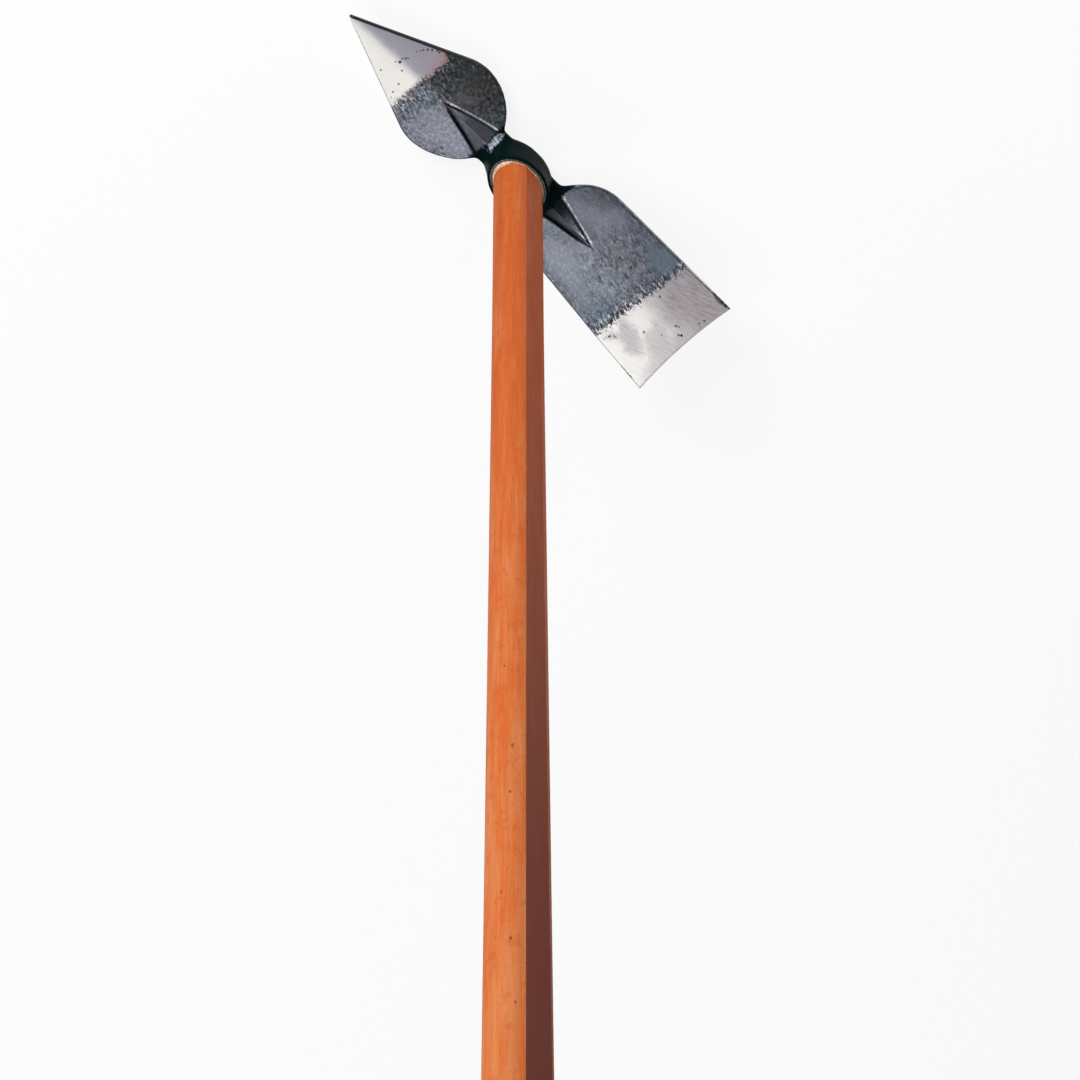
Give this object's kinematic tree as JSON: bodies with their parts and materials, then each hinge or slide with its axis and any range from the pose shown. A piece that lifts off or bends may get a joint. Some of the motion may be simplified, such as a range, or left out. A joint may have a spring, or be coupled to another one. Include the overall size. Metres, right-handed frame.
{
  "type": "double hoe",
  "caption": "Long-handled planting hoe: a forged steel head with a pointed blade and a square blade, wedged on an oval wooden handle.",
  "frame": {"origin": "centre of the handle's end face at the head, on the handle's axis", "axes": "+Z along the handle toward the grip, +X toward the pointed blade, so the square blade points along -X"},
  "size_m": [0.3315, 0.0874, 1.2],
  "materials": {
    "forged_steel": "dark clear-lacquered forging scale, with the ends of both blades ground bright",
    "lacquered_wood": "orange-brown lacquered ash, semi-gloss, fine lengthwise grain",
    "bare_wood": "bare, pale end grain",
    "plain_steel": "plain rolled steel"
  },
  "bodies": {
    "root": {"hoe_head": "forged_steel", "handle": "lacquered_wood", "wooden_wedge": "bare_wood", "steel_wedge": "plain_steel"}
  },
  "joints": []
}
